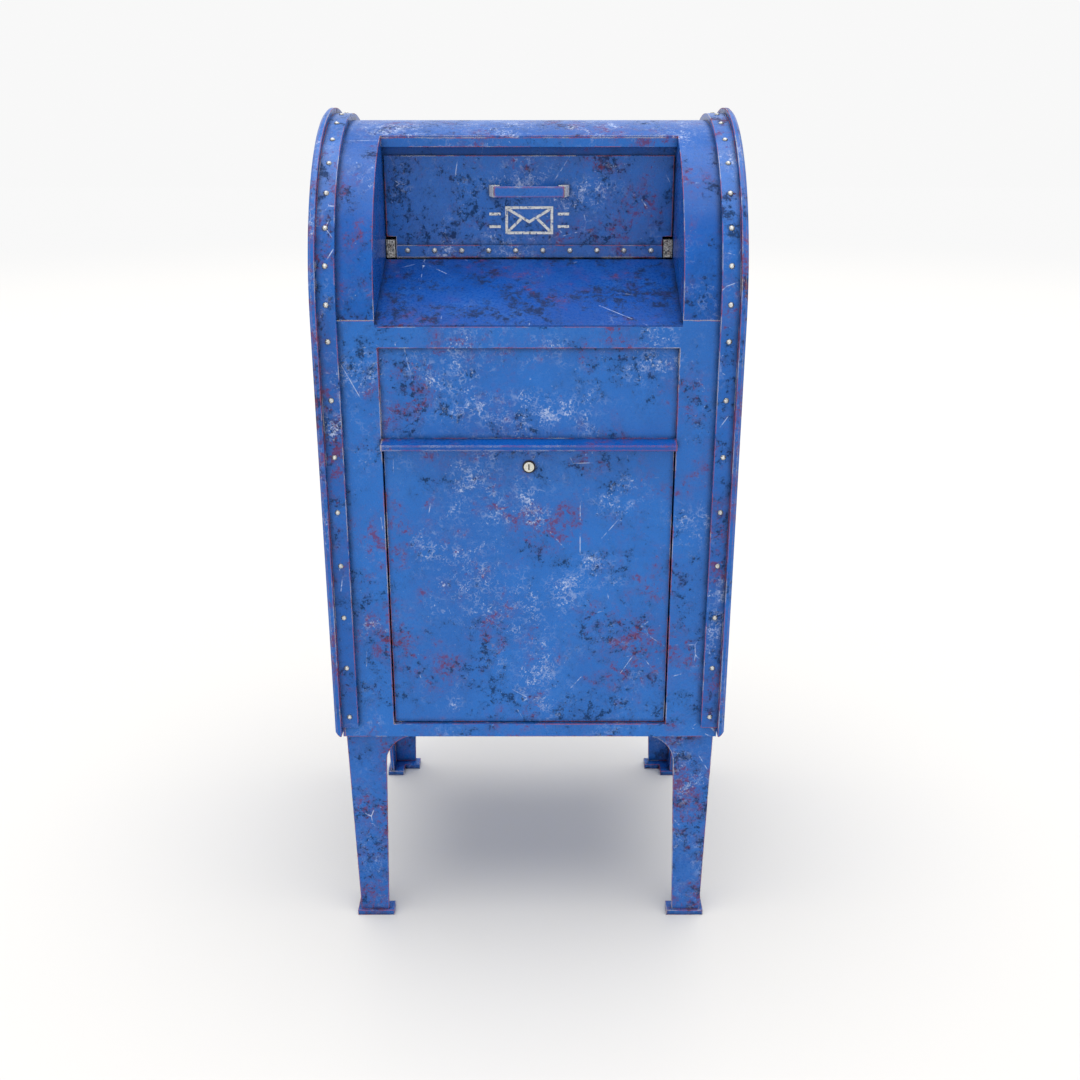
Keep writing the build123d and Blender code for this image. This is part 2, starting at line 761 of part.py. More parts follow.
def front_right_pad():
    """L-shaped foot pad under a leg."""
    inner_x = pad_outer_x - pad_length_x
    bend_x = pad_outer_x - pad_arm_x
    back_y = -pad_outer_y + pad_length_y
    bend_y = -pad_outer_y + pad_arm_y
    outline = make_face(Polyline(
        (inner_x, -pad_outer_y),
        (pad_outer_x, -pad_outer_y),
        (pad_outer_x, back_y),
        (bend_x, back_y),
        (bend_x, bend_y),
        (inner_x, bend_y),
        close=True,
    ))
    return extrude(outline, pad_thick)


def legs():
    """Four legs, their foot pads, and the bolts and nuts that hold the legs."""
    leg = front_right_leg()
    pad = front_right_pad()
    corners = {
        "front_right": lambda part: part,
        "front_left": mirrored,
        "rear_right": lambda part: mirror(part, about=Plane.XZ),
        "rear_left": lambda part: mirror(mirrored(part), about=Plane.XZ),
    }
    for name, turn in corners.items():
        save(f"{name}_leg", turn(leg), lift=0)
        save(f"{name}_foot_pad", turn(pad), lift=0)
    bolts = []
    nuts = []
    floor_top = leg_height + sheet
    flange_low = leg_height - leg_sheet
    hexagon = RegularPolygon(1.6 * leg_bolt_radius, 6, major_radius=False)
    for x, y in leg_bolt_places():
        shank = rod_z(leg_bolt_radius, flange_low - 1.5 * leg_nut_height, floor_top, x, y)
        head = Pos(x, y, floor_top) * extrude(hexagon, leg_bolt_head)
        bolts.append(shank + head)
        nut = Pos(x, y, flange_low - leg_nut_height) * extrude(hexagon, leg_nut_height)
        nuts.append(nut - rod_z(leg_bolt_radius + press_gap, 0, beyond, x, y))
    save("leg_bolts", *bolts, lift=0)
    save("leg_nuts", *nuts, lift=0)


cabinet_sheets()
side_parts()
lower_front()
recess()
hinge_blocks()
deposit_door()
collection_door()
goose_necks()
lock()
legs()
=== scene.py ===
import json
import math

import bmesh
import bpy
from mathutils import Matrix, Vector


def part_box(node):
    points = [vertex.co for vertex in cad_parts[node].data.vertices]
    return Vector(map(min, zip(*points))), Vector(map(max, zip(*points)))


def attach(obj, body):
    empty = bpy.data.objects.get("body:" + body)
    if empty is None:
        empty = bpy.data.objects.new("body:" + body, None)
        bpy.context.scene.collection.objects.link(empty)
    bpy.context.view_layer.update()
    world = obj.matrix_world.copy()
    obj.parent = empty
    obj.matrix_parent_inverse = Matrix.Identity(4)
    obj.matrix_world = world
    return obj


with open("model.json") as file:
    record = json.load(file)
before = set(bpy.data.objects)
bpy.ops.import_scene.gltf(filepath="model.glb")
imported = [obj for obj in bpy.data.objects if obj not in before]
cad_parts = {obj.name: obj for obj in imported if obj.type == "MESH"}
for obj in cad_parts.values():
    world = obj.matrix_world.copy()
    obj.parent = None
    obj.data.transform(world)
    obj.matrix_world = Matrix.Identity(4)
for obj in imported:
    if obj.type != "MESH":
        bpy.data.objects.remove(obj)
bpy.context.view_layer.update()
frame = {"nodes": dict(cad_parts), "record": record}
nodes = frame["nodes"]

# ---------------------------------------------------------------- shader helpers


def feed(tree, socket, value):
    """Link a socket to another, or set its own value. A colour has three numbers."""
    if isinstance(value, bpy.types.NodeSocket):
        tree.links.new(value, socket)
    elif socket.type == "RGBA":
        socket.default_value = (*value, 1.0)
    else:
        socket.default_value = value


def calc(tree, operation, a, b):
    made = tree.nodes.new("ShaderNodeMath")
    made.operation = operation
    feed(tree, made.inputs[0], a)
    feed(tree, made.inputs[1], b)
    return made.outputs[0]


def vector_calc(tree, operation, *values):
    """A vector, or a plain number for a length or a dot product."""
    made = tree.nodes.new("ShaderNodeVectorMath")
    made.operation = operation
    for socket, value in zip(made.inputs, values):
        feed(tree, socket, value)
    return made.outputs["Value" if operation in ("LENGTH", "DOT_PRODUCT") else "Vector"]


def times(tree, *values):
    total = values[0]
    for value in values[1:]:
        total = calc(tree, "MULTIPLY", total, value)
    return total


def highest(tree, *values):
    total = values[0]
    for value in values[1:]:
        total = calc(tree, "MAXIMUM", total, value)
    return total


def smooth(tree, value, low, high, to_low=0.0, to_high=1.0):
    """A soft step: to_low below low, to_high above high."""
    made = tree.nodes.new("ShaderNodeMapRange")
    made.interpolation_type = "SMOOTHSTEP"
    feed(tree, made.inputs["Value"], value)
    feed(tree, made.inputs["From Min"], low)
    feed(tree, made.inputs["From Max"], high)
    feed(tree, made.inputs["To Min"], to_low)
    feed(tree, made.inputs["To Max"], to_high)
    return made.outputs[0]


def blend_colour(tree, factor, a, b):
    made = tree.nodes.new("ShaderNodeMix")
    made.data_type = "RGBA"
    feed(tree, made.inputs[0], factor)
    feed(tree, made.inputs[6], a)
    feed(tree, made.inputs[7], b)
    return made.outputs[2]


def noise(tree, place, scale, detail=4.0, roughness=0.55, distortion=0.0):
    """Clouds about 1 / scale metres wide, mostly between 0.3 and 0.7."""
    made = tree.nodes.new("ShaderNodeTexNoise")
    feed(tree, made.inputs["Vector"], place)
    made.inputs["Scale"].default_value = scale
    made.inputs["Detail"].default_value = detail
    made.inputs["Roughness"].default_value = roughness
    made.inputs["Distortion"].default_value = distortion
    return made.outputs["Fac"]


def object_place(tree):
    coords = tree.nodes.new("ShaderNodeTexCoord")
    return coords.outputs["Object"]


def seeded(tree, place, seed):
    """The same place shifted, so that each layer and material has its own pattern."""
    made = tree.nodes.new("ShaderNodeMapping")
    made.inputs["Location"].default_value = (seed * 1.37, seed * 2.11, seed * 0.73)
    tree.links.new(place, made.inputs["Vector"])
    return made.outputs["Vector"]


def edge_mask(tree, radius):
    """Near 1 on a sharp edge, falling to 0 at about radius from it."""
    bevel = tree.nodes.new("ShaderNodeBevel")
    bevel.samples = 6
    bevel.inputs["Radius"].default_value = radius
    geometry = tree.nodes.new("ShaderNodeNewGeometry")
    match = vector_calc(tree, "DOT_PRODUCT", bevel.outputs["Normal"], geometry.outputs["Normal"])
    return smooth(tree, match, 0.985, 0.80)


def shade_and_grime_mask(tree, distance, open_from, closed_at):
    """Painted shade and grime for corners, creases and crevices: 0 where a place is at least open_from
    open within distance metres, 1 at closed_at or less.
    """
    occlusion = tree.nodes.new("ShaderNodeAmbientOcclusion")
    occlusion.samples = 4
    occlusion.inputs["Distance"].default_value = distance
    return smooth(tree, occlusion.outputs["AO"], open_from, closed_at)


def hairs(tree, place, scale, width):
    """Thin straight lines that cross at all angles."""
    cells = tree.nodes.new("ShaderNodeTexVoronoi")
    cells.feature = "DISTANCE_TO_EDGE"
    cells.inputs["Scale"].default_value = scale
    tree.links.new(place, cells.inputs["Vector"])
    return smooth(tree, cells.outputs["Distance"], width, width * 0.35)


def clusters(tree, place, seed, scale, low, high):
    """Where a kind of wear gathers: 0 outside, 1 in the thick of it."""
    spread = noise(tree, seeded(tree, place, seed), scale, 7.0, 0.70, 0.4)
    return smooth(tree, spread, low, high)


def grains(tree, place, seed, scale, gather, reach):
    """Ragged fine grains, thick where gather is near 1 and rare where it is 0."""
    fine = noise(tree, seeded(tree, place, seed), scale, 6.0, 0.80, 0.2)
    return smooth(tree, calc(tree, "ADD", fine, times(tree, gather, reach)), 0.640, 0.720)


def clumps(tree, place, seed):
    """Patches a few millimetres wide that break up the wear."""
    return smooth(tree, noise(tree, seeded(tree, place, seed), 52.0, 6.0, 0.78, 0.3), 0.415, 0.585)


def zone(tree, place, centre, size):
    """1 at a centre in the shared frame, falling to 0 over size (both metres)."""
    offset = vector_calc(tree, "SUBTRACT", place, centre)
    share = vector_calc(tree, "LENGTH", vector_calc(tree, "DIVIDE", offset, size))
    return smooth(tree, share, 1.0, 0.1)


def zones(tree, place, rows):
    """The thick of a kind of wear at given places, with ragged outlines."""
    ragged = smooth(tree, noise(tree, seeded(tree, place, 2.2), 26.0, 6.0, 0.72, 0.5), 0.36, 0.62)
    return times(tree, highest(tree, *[zone(tree, place, centre, size) for centre, size in rows]), ragged)


def new_material(name):
    material = bpy.data.materials.new(name)
    material.use_nodes = True
    tree = material.node_tree
    return material, tree, tree.nodes["Principled BSDF"]


def add_bump(tree, shader, height, strength, distance, round_edge):
    """Surface relief, over edges rounded by round_edge metres."""
    bump = tree.nodes.new("ShaderNodeBump")
    bump.inputs["Strength"].default_value = strength
    bump.inputs["Distance"].default_value = distance
    tree.links.new(height, bump.inputs["Height"])
    soft = tree.nodes.new("ShaderNodeBevel")
    soft.samples = 4
    soft.inputs["Radius"].default_value = round_edge
    tree.links.new(soft.outputs["Normal"], bump.inputs["Normal"])
    tree.links.new(bump.outputs["Normal"], shader.inputs["Normal"])


# ---------------------------------------------------------------- colours, linear

BLUE = (0.0050, 0.136, 0.510)
BLUE_DEEP = (0.0045, 0.114, 0.445)
BLUE_FADED = (0.040, 0.185, 0.540)
RED_SPECK = (0.185, 0.026, 0.030)
RED_EDGE = (0.400, 0.072, 0.030)
PALE_EDGE = (0.560, 0.500, 0.470)
PALE = (0.460, 0.550, 0.780)
DARK = (0.008, 0.012, 0.026)
RUST = (0.14, 0.055, 0.022)
GRIME = (0.015, 0.018, 0.028)
# Colour of the painted shade and grime in steel crevices.
CREVICE_SHADE = (0.010, 0.013, 0.022)
RIVET_STEEL = (0.86, 0.86, 0.83)
HINGE_STEEL = (0.80, 0.78, 0.70)
HANDLE_STEEL = (1.0, 1.0, 0.98)
ZINC = (0.52, 0.53, 0.54)
BLACK_STEEL = (0.05, 0.05, 0.055)
PALE_BRASS = (0.80, 0.78, 0.68)
WHITE_DULL = (0.62, 0.62, 0.58)
WHITE = (0.84, 0.84, 0.80)


def enamel(tree, own, tone):
    """Clean paint in two close blues with faded clouds. Gives its colour and its fine mist."""
    deep, base = [(r * tone, g * tone, b * tone ** 0.6) for r, g, b in (BLUE_DEEP, BLUE)]
    broad = smooth(tree, noise(tree, own, 6.0, 4.0, 0.6), 0.35, 0.65)
    colour = blend_colour(tree, broad, deep, base)
    film = clusters(tree, own, 1.1, 9.0, 0.44, 0.70)
    mist = smooth(tree, noise(tree, own, 230.0, 5.0, 0.7), 0.40, 0.62)
    return blend_colour(tree, times(tree, film, mist, 0.30), colour, BLUE_FADED), mist


def stained_grains(tree, own, here, clump_seed, grain_seed, scale, reach, opacity, soft_opacity):
    """Grains on a soft stain where here is high. Gives the grains and how far both cover the paint."""
    soft = times(tree, here, clumps(tree, own, clump_seed))
    grain = grains(tree, own, grain_seed, scale, soft, reach)
    return grain, highest(tree, times(tree, grain, opacity), times(tree, soft, soft_opacity))


def pale_wear(tree, own, here):
    """Rubbed hairs and pale flecks where here is high, and a few scratches anywhere."""
    rub = noise(tree, seeded(tree, own, 6.6), 120.0, 3.0, 0.6)
    hair = highest(tree, hairs(tree, seeded(tree, own, 7.1), 150.0, 0.10),
                   hairs(tree, seeded(tree, own, 8.3), 80.0, 0.060))
    hair = times(tree, hair, here, smooth(tree, rub, 0.46, 0.60))
    fleck = grains(tree, own, 6.1, 270.0, times(tree, here, clumps(tree, own, 5.8)), 0.220)
    scratch = highest(
        tree,
        times(tree, hairs(tree, seeded(tree, own, 9.4), 5.5, 0.0042),
              clusters(tree, own, 9.9, 7.0, 0.58, 0.62)),
        times(tree, hairs(tree, seeded(tree, own, 10.4), 14.0, 0.009),
              clusters(tree, own, 10.9, 14.0, 0.58, 0.63)))
    scratch = times(tree, scratch, smooth(tree, rub, 0.34, 0.55, 0.25, 0.9))
    return highest(tree, times(tree, hair, 0.45), times(tree, fleck, 0.80), scratch)


def rubbed_edges(tree, own, edge, reach):
    """Broken lines along the edges. Gives where they are and the colour under the paint there."""
    rim = edge_mask(tree, reach)
    ragged = noise(tree, seeded(tree, own, 11.2), 75.0, 5.0, 0.65)
    line = calc(tree, "ADD", rim, times(tree, calc(tree, "SUBTRACT", ragged, 0.5), 2.2))
    line = smooth(tree, line, 0.50, 0.70)
    kept = smooth(tree, noise(tree, seeded(tree, own, 12.4), 16.0, 3.0, 0.6), 0.44 - edge, 0.52 - edge)
    tint = smooth(tree, noise(tree, seeded(tree, own, 13.1), 13.0, 3.0, 0.6), 0.43, 0.49)
    line = times(tree, line, kept, smooth(tree, rim, 0.02, 0.2))
    return line, blend_colour(tree, tint, PALE_EDGE, RED_EDGE)


def worn_paint(name, seed, edge=0.0, red=0.0, pale=0.0, dark=0.0, tone=1.0, gloss=0.40, reach=0.0032,
               spots=None):
    """Blue enamel, speckled with dark, red and pale wear, and rubbed through along its edges.

    edge, red, pale and dark make each kind of wear commoner (above 0) or rarer (below 0).
    tone darkens the clean paint; on the deposit door, the recess and the rail it stands for painted
    shade. gloss is its specular level. reach is how far in metres the worn edges go. spots gives places
    where a kind of wear is thick; on the hood top the pale ones are partly painted highlight.
    """
    spots = spots or {}
    material, tree, shader = new_material(name)
    place = object_place(tree)
    own = seeded(tree, place, seed)
    colour, mist = enamel(tree, own, tone)

    def gather(kind, layer, scale, low, high):
        spread = clusters(tree, own, layer, scale, low, high)
        if kind in spots:
            spread = highest(tree, spread, zones(tree, place, spots[kind]))
        return spread

    dark_here = gather("dark", 3.7, 12.0, 0.435 - dark, 0.67 - dark)
    dark_grain, dark_all = stained_grains(tree, own, dark_here, 4.6, 4.1, 200.0, 0.260, 0.75, 0.36)
    colour = blend_colour(tree, dark_all, colour, DARK)
    red_here = gather("red", 2.3, 10.0, 0.455 - red, 0.68 - red)
    red_grain, red_all = stained_grains(tree, own, red_here, 3.4, 2.9, 210.0, 0.250, 0.64, 0.28)
    colour = blend_colour(tree, red_all, colour, RED_SPECK)
    pale_all = pale_wear(tree, own, gather("pale", 5.2, 9.0, 0.46 - pale, 0.72 - pale))
    colour = blend_colour(tree, pale_all, colour, PALE)

    # Painted shade and grime: corners, creases, the plate round rivet heads and the faces under and
    # between parts are darkened, more where they are more closed in.
    corner = shade_and_grime_mask(tree, 0.009, 0.93, 0.58)
    shade = times(tree, corner, smooth(tree, noise(tree, own, 30.0, 4.0, 0.6), 0.3, 0.6, 0.30, 0.75))
    colour = blend_colour(tree, shade, colour, DARK)
    line, under = rubbed_edges(tree, own, edge, reach)
    colour = blend_colour(tree, times(tree, line, 0.90), colour, under)
    tree.links.new(colour, shader.inputs["Base Color"])

    worn = highest(tree, red_grain, dark_grain, pale_all, line)
    rough = calc(tree, "ADD", smooth(tree, mist, 0.0, 1.0, 0.27, 0.33), times(tree, worn, 0.28))
    tree.links.new(rough, shader.inputs["Roughness"])
    shine = smooth(tree, highest(tree, dark_grain, red_grain, shade), 0.0, 1.0, gloss, 0.12)
    tree.links.new(shine, shader.inputs["Specular IOR Level"])
    ripple = noise(tree, own, 3.0, 2.0, 0.4)
    height = calc(tree, "SUBTRACT", times(tree, ripple, 3.0), times(tree, worn, 0.10))
    add_bump(tree, shader, height, 0.5, 0.001, 0.0008)
    return material


def steel(name, seed, base, stain, metallic=0.6, rough=0.42, grain=420.0, crevice_shade=(0.005, 0.95, 0.45),
          dull=0.24):
    """Bare, scratched and stained steel, with painted shade and grime blackening its crevices.

    crevice_shade is the reach in metres and the two openness limits of shade_and_grime_mask, which paints
    shade and grime into the crevices.
    dull is how bright its dark grains are beside its bright ones.
    """
    material, tree, shader = new_material(name)
    place = seeded(tree, object_place(tree), seed)
    mottle = smooth(tree, noise(tree, place, grain, 4.0, 0.7), 0.40, 0.60)
    colour = blend_colour(tree, mottle, tuple(dull * c for c in base), base)
    blots = noise(tree, place, grain * 0.4, 6.0, 0.75)
    colour = blend_colour(tree, smooth(tree, blots, 0.53, 0.63, 0.0, stain), colour, RUST)
    black = noise(tree, seeded(tree, place, 3.3), grain * 0.5, 6.0, 0.75)
    colour = blend_colour(tree, smooth(tree, black, 0.52, 0.60, 0.0, stain), colour, GRIME)
    # Painted shade and grime: the crevices are darkened, more where they are more closed in.
    shade = shade_and_grime_mask(tree, *crevice_shade)
    colour = blend_colour(tree, times(tree, shade, 0.85), colour, CREVICE_SHADE)
    tree.links.new(colour, shader.inputs["Base Color"])
    tree.links.new(smooth(tree, shade, 0.0, 1.0, 0.5, 0.03), shader.inputs["Specular IOR Level"])
    shader.inputs["Metallic"].default_value = metallic
    tree.links.new(smooth(tree, mottle, 0.0, 1.0, rough + 0.2, rough), shader.inputs["Roughness"])
    add_bump(tree, shader, noise(tree, place, grain, 5.0, 0.7), 0.5, 0.0006, 0.0004)
    return material


def worn_white(name, seed):
    """White stencil paint, chipped through to the blue."""
    material, tree, shader = new_material(name)
    place = seeded(tree, object_place(tree), seed)
    mottle = smooth(tree, noise(tree, place, 300.0, 4.0, 0.7), 0.35, 0.65)
    colour = blend_colour(tree, mottle, WHITE_DULL, WHITE)
    chip = smooth(tree, noise(tree, place, 260.0, 6.0, 0.75), 0.545, 0.585)
    under = smooth(tree, noise(tree, place, 60.0, 3.0, 0.6), 0.5, 0.6)
    colour = blend_colour(tree, chip, colour, blend_colour(tree, under, BLUE_DEEP, DARK))
    rim = edge_mask(tree, 0.0006)
    rubbed = times(tree, rim, smooth(tree, noise(tree, place, 150.0, 3.0), 0.42, 0.6))
    colour = blend_colour(tree, times(tree, rubbed, 0.6), colour, DARK)
    tree.links.new(colour, shader.inputs["Base Color"])
    shader.inputs["Roughness"].default_value = 0.45
    add_bump(tree, shader, times(tree, chip, -1.0), 0.4, 0.0003, 0.0002)
    return material


# ---------------------------------------------------------------- materials on the CAD nodes

# Each row of spots is a centre and how far the wear goes from it along x, y and z, in metres.

FRONT_Y = -0.255
FRONT_SPOTS = {
    "dark": [
        ((-0.045, FRONT_Y, 0.800), (0.075, 0.2, 0.022)),
        ((-0.105, FRONT_Y, 0.765), (0.075, 0.2, 0.022)),
        ((0.100, FRONT_Y, 0.640), (0.140, 0.2, 0.035)),
        ((-0.060, FRONT_Y, 0.520), (0.060, 0.2, 0.080)),
        ((0.175, FRONT_Y, 0.900), (0.040, 0.2, 0.060)),
    ],
    "red": [
        ((-0.080, FRONT_Y, 0.967), (0.120, 0.2, 0.030)),
        ((0.115, FRONT_Y, 0.970), (0.100, 0.2, 0.028)),
        ((-0.130, FRONT_Y, 0.800), (0.060, 0.2, 0.030)),
        ((0.080, FRONT_Y, 0.775), (0.060, 0.2, 0.050)),
        ((-0.150, FRONT_Y, 0.590), (0.045, 0.2, 0.040)),
        ((0.100, FRONT_Y, 0.545), (0.035, 0.2, 0.060)),
        ((0.120, FRONT_Y, 0.440), (0.060, 0.2, 0.030)),
    ],
    "pale": [
        ((-0.010, FRONT_Y, 0.875), (0.200, 0.2, 0.045)),
        ((-0.130, FRONT_Y, 0.655), (0.080, 0.2, 0.070)),
        ((0.130, FRONT_Y, 0.745), (0.070, 0.2, 0.050)),
        ((0.015, FRONT_Y, 0.470), (0.050, 0.2, 0.090)),
        ((-0.118, FRONT_Y, 0.400), (0.022, 0.2, 0.022)),
    ],
}
HOOD_SPOTS = {
    "dark": [
        ((-0.255, -0.100, 1.170), (0.050, 0.3, 0.080)),
        ((0.250, -0.200, 1.060), (0.050, 0.3, 0.060)),
        ((-0.120, -0.050, 1.260), (0.070, 0.3, 0.030)),
        ((0.050, -0.050, 1.262), (0.080, 0.3, 0.030)),
        ((0.180, -0.050, 1.258), (0.060, 0.3, 0.030)),
    ],
    "red": [
        ((-0.245, -0.150, 1.110), (0.040, 0.3, 0.060)),
        ((0.235, -0.150, 1.185), (0.050, 0.3, 0.030)),
        ((0.100, -0.050, 1.250), (0.100, 0.3, 0.015)),
    ],
    # Partly painted highlight: these pale zones run along the top of the arch and stand for the sheen it
    # catches, as well as for rubbed wear.
    "pale": [
        ((-0.200, -0.050, 1.256), (0.110, 0.2, 0.040)),
        ((-0.040, -0.050, 1.256), (0.100, 0.2, 0.040)),
        ((0.100, -0.050, 1.256), (0.090, 0.2, 0.040)),
        ((0.210, -0.050, 1.252), (0.080, 0.2, 0.050)),
    ],
}
DOOR_Y = -0.080
DOOR_SPOTS = {
    "dark": [
        ((-0.120, DOOR_Y, 1.195), (0.110, 0.1, 0.030)),
        ((0.150, DOOR_Y, 1.160), (0.060, 0.1, 0.040)),
        ((-0.100, DOOR_Y, 1.080), (0.110, 0.1, 0.016)),
        ((0.185, DOOR_Y, 1.085), (0.050, 0.1, 0.030)),
    ],
    "red": [
        ((-0.020, DOOR_Y, 1.205), (0.060, 0.1, 0.020)),
        ((0.110, DOOR_Y, 1.200), (0.060, 0.1, 0.022)),
        ((0.120, DOOR_Y, 1.115), (0.060, 0.1, 0.025)),
    ],
    "pale": [
        ((-0.030, DOOR_Y, 1.180), (0.100, 0.1, 0.030)),
        ((0.080, DOOR_Y, 1.160), (0.100, 0.1, 0.040)),
    ],
}


def paint(names, material):
    for name in names:
        slots = nodes[name].data.materials
        slots.clear()
        slots.append(material)


def dress_nodes():
    """Give every CAD node its material."""
    by_slot = {}
    for row in frame["record"]["subparts"]:
        by_slot.setdefault(row["material_slot"], []).append(row["node"])
    paint(by_slot["blue_paint"], worn_paint("paint_body", 1.0))
    # Painted shade and grime: the rivets get a strong dark ring where their heads meet the plate.
    paint(by_slot["rivet_steel"], steel(
        "rivets", 2.0, RIVET_STEEL, stain=0.45, metallic=0.30, rough=0.32, grain=600.0,
        crevice_shade=(0.012, 0.985, 0.90), dull=0.6))
    paint(by_slot["bare_steel"], steel(
        "bare_steel", 3.0, HINGE_STEEL, stain=0.95, metallic=0.30, rough=0.40, grain=520.0, dull=0.12))
    paint(["handle_brackets"], steel(
        "handle_steel", 3.5, HANDLE_STEEL, stain=0.12, metallic=0.15, rough=0.35, dull=0.6))
    paint(by_slot["zinc_hardware"], steel("zinc", 4.0, ZINC, stain=0.25))
    paint(by_slot["lock_ring"], steel("lock_ring", 5.0, BLACK_STEEL, stain=0.30))
    paint(by_slot["lock_face"], steel(
        "lock_face", 6.0, PALE_BRASS, stain=0.0, metallic=0.20, rough=0.40, dull=0.85))
    paint(["front_sheet", "upper_panel", "collection_door"], worn_paint(
        "paint_front", 9.0, edge=0.03, spots=FRONT_SPOTS))
    paint(["left_rim", "right_rim"], worn_paint(
        "paint_rims", 7.0, edge=0.06, red=0.04, dark=0.02, tone=0.88, gloss=0.32))
    paint(["left_edge_strip", "right_edge_strip"], worn_paint(
        "paint_strips", 8.0, edge=0.05, red=0.03, dark=0.04, tone=0.86, gloss=0.34))
    # Painted shade: the deposit door is toned darker because it sits back in the recess.
    paint(["deposit_door", "door_hinge_strip"], worn_paint(
        "paint_deposit_door", 14.0, edge=0.03, pale=0.01, dark=0.04, tone=0.89, spots=DOOR_SPOTS))
    paint(["hood_sheet"], worn_paint(
        "paint_hood", 15.0, edge=0.05, red=-0.01, pale=-0.04, dark=-0.01, tone=0.72, gloss=0.22,
        spots=HOOD_SPOTS))
    # Painted shade: the cheeks and the door stop are toned darker for the shade inside the recess.
    paint(["left_cheek", "right_cheek", "door_stop"], worn_paint(
        "paint_cheeks", 19.0, edge=-0.30, red=-0.04, pale=-0.06, dark=0.02, tone=0.66, gloss=0.22))
    # Painted shade: the recess floor is toned much darker for the shade under the hood.
    paint(["recess_floor"], worn_paint(
        "paint_recess", 16.0, edge=-0.30, red=-0.01, pale=-0.08, dark=0.06, tone=0.50, gloss=0.28))
    paint(["handle_bar"], worn_paint(
        "paint_handle", 17.0, edge=0.30, pale=-0.05, dark=-0.05, tone=0.90, reach=0.006))
    # Painted shade and reflection: the rail is toned darker and deeper blue for the dark blue its top
    # face reflects from the panel above.
    paint(["drip_rail"], worn_paint(
        "paint_rail", 18.0, edge=0.25, red=0.04, pale=-0.10, dark=-0.05, tone=0.68, gloss=0.20,
        reach=0.0062))
    corners = ("front_left", "front_right", "rear_left", "rear_right")
    for k, corner in enumerate(corners):
        legs = worn_paint(f"paint_leg_{corner}", 10.0 + k, edge=0.05, red=0.06, dark=0.06, tone=0.89)
        paint([f"{corner}_leg", f"{corner}_foot_pad"], legs)


# ---------------------------------------------------------------- the painted symbol

SYMBOL_MIDDLE = (0.0, 1.1235)
SYMBOL_HALF = (0.034, 0.0185)
STROKE = 0.0040
SYMBOL_THICK = 0.0003
BAR_START = 0.009
BAR_END = 0.026
FLAP_DEPTH = 0.12
FOLD_REACH = 0.36


def stroke_faces(shape, points, closed):
    """A flat mitred stroke through points (x, z), added to shape, a list of vertices and faces."""
    verts, faces = shape
    count = len(points)
    first = len(verts)
    for k in range(count):
        here = Vector(points[k])
        before = Vector(points[k - 1]) if closed or k > 0 else None
        after = Vector(points[(k + 1) % count]) if closed or k < count - 1 else None
        into = (here - before).normalized() if before is not None else (after - here).normalized()
        out = (after - here).normalized() if after is not None else into
        side = Vector((-(into + out).y, (into + out).x)).normalized()
        square = Vector((-into.y, into.x))
        reach = STROKE / 2 / max(side.dot(square), 0.3)
        for sign in (1, -1):
            spot = here + side * reach * sign
            verts.append((spot.x, spot.y))
    spans = count if closed else count - 1
    for k in range(spans):
        a = first + 2 * k
        b = first + 2 * ((k + 1) % count)
        faces.append((a, b, b + 1, a + 1))


def envelope():
    """A plain envelope between short bars, in worn white, where the box says what it is for."""
    middle_x, middle_z = SYMBOL_MIDDLE
    half_x, half_z = SYMBOL_HALF
    shape = ([], [])
    corners = [(-half_x, -half_z), (half_x, -half_z), (half_x, half_z), (-half_x, half_z)]
    stroke_faces(shape, corners, True)
    in_x = half_x - STROKE / 2
    in_z = half_z - STROKE / 2
    flap_tip = (0.0, -FLAP_DEPTH * half_z)
    stroke_faces(shape, [(-in_x, in_z), flap_tip, (in_x, in_z)], False)
    for side in (-1, 1):
        fold_end = (side * FOLD_REACH * half_x, FLAP_DEPTH * half_z)
        stroke_faces(shape, [(side * in_x, -in_z), fold_end], False)
        near = side * (half_x + BAR_START)
        far = side * (half_x + BAR_END)
        for level in (-0.5 * half_z, 0.5 * half_z):
            stroke_faces(shape, [(near, level), (far, level)], False)
    door_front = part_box("deposit_door")[0].y
    mesh = bpy.data.meshes.new("envelope_symbol")
    verts = [(middle_x + x, door_front - SYMBOL_THICK, middle_z + z) for x, z in shape[0]]
    mesh.from_pydata(verts, [], shape[1])
    form = bmesh.new()
    form.from_mesh(mesh)
    bmesh.ops.recalc_face_normals(form, faces=form.faces)
    grown = bmesh.ops.extrude_face_region(form, geom=list(form.faces))
    moved = [part for part in grown["geom"] if isinstance(part, bmesh.types.BMVert)]
    bmesh.ops.translate(form, verts=moved, vec=(0.0, SYMBOL_THICK + 0.0001, 0.0))
    bmesh.ops.recalc_face_normals(form, faces=form.faces)
    form.to_mesh(mesh)
    form.free()
    piece = bpy.data.objects.new("envelope_symbol", mesh)
    bpy.context.scene.collection.objects.link(piece)
    mesh.materials.append(worn_white("symbol_white", 21.0))
    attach(piece, "deposit_door_unit")


# ---------------------------------------------------------------- stage


FLOOR_HALF = 14.0
FLOOR_COLOUR = (0.662, 0.650, 0.630)
FADE_START = 4.5
FADE_END = 9.5
BACKDROP = (0.945, 0.945, 0.945)
SKY_STRENGTH = 0.94
SUN_STRENGTH = 2.1
SUN_WIDTH = math.radians(60)
SUN_TILT = math.radians(2)
SENSOR_WIDTH = 36.0
FOCAL_LENGTH = 42.28
CAMERA_PLACE = (0.0162, -2.039, 1.334)
CAMERA_TILT = math.radians(90 - 20.28)


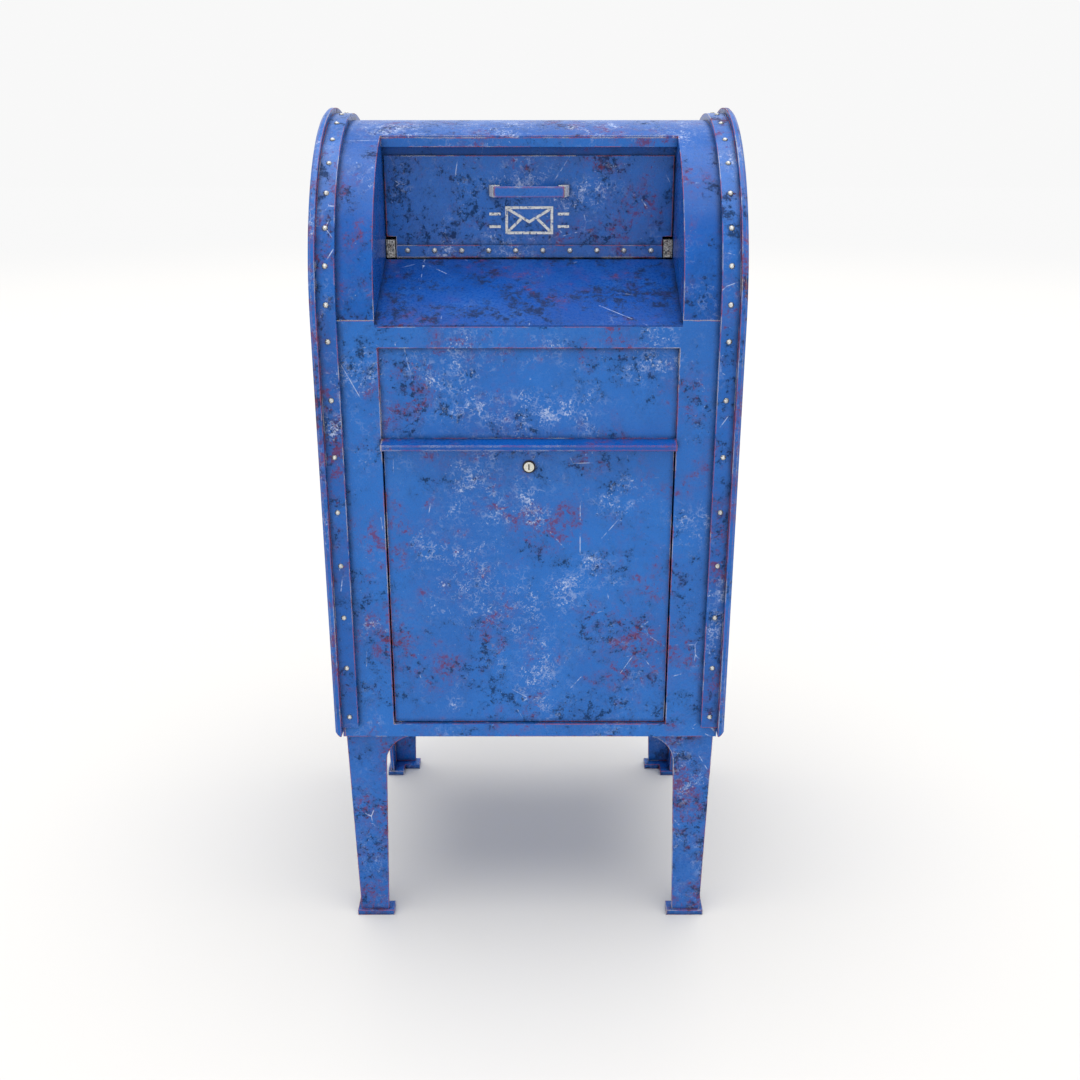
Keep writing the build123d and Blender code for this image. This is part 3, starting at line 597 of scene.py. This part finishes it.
def floor_material():
    """Pale and matt, fading into the backdrop far from the mailbox."""
    material, tree, shader = new_material("floor")
    shader.inputs["Base Color"].default_value = (*FLOOR_COLOUR, 1)
    shader.inputs["Roughness"].default_value = 0.8
    shader.inputs["Specular IOR Level"].default_value = 0.2
    glow = tree.nodes.new("ShaderNodeEmission")
    glow.inputs["Color"].default_value = (*BACKDROP, 1)
    away = vector_calc(tree, "LENGTH", object_place(tree))
    mix = tree.nodes.new("ShaderNodeMixShader")
    tree.links.new(smooth(tree, away, FADE_START, FADE_END), mix.inputs[0])
    tree.links.new(shader.outputs[0], mix.inputs[1])
    tree.links.new(glow.outputs[0], mix.inputs[2])
    tree.links.new(mix.outputs[0], tree.nodes["Material Output"].inputs["Surface"])
    return material


def add_floor():
    size = FLOOR_HALF
    corners = [(-size, -size, 0), (size, -size, 0), (size, size, 0), (-size, size, 0)]
    mesh = bpy.data.meshes.new("floor")
    mesh.from_pydata(corners, [], [(0, 1, 2, 3)])
    mesh.materials.append(floor_material())
    floor = bpy.data.objects.new("floor", mesh)
    bpy.context.scene.collection.objects.link(floor)


def add_light():
    """A bright even sky, and a broad soft sun almost straight above."""
    world = bpy.data.worlds.new("world")
    bpy.context.scene.world = world
    world.use_nodes = True
    background = world.node_tree.nodes["Background"]
    background.inputs["Color"].default_value = (1, 1, 1, 1)
    background.inputs["Strength"].default_value = SKY_STRENGTH

    lamp = bpy.data.lights.new("overhead", "SUN")
    lamp.energy = SUN_STRENGTH
    lamp.angle = SUN_WIDTH
    overhead = bpy.data.objects.new("overhead", lamp)
    overhead.location = (0.0, -1.0, 4.0)
    overhead.rotation_euler = (SUN_TILT, 0, 0)
    bpy.context.scene.collection.objects.link(overhead)


def add_camera():
    """Where the photographer stands, looking down at the front."""
    lens = bpy.data.cameras.new("camera")
    lens.sensor_width = SENSOR_WIDTH
    lens.lens = FOCAL_LENGTH
    lens.clip_end = 60.0
    camera = bpy.data.objects.new("camera", lens)
    camera.location = CAMERA_PLACE
    camera.rotation_euler = (CAMERA_TILT, 0, 0)
    bpy.context.scene.collection.objects.link(camera)
    bpy.context.scene.camera = camera
    bpy.context.scene.view_settings.view_transform = "Standard"


add_floor()
add_light()
add_camera()
dress_nodes()
envelope()
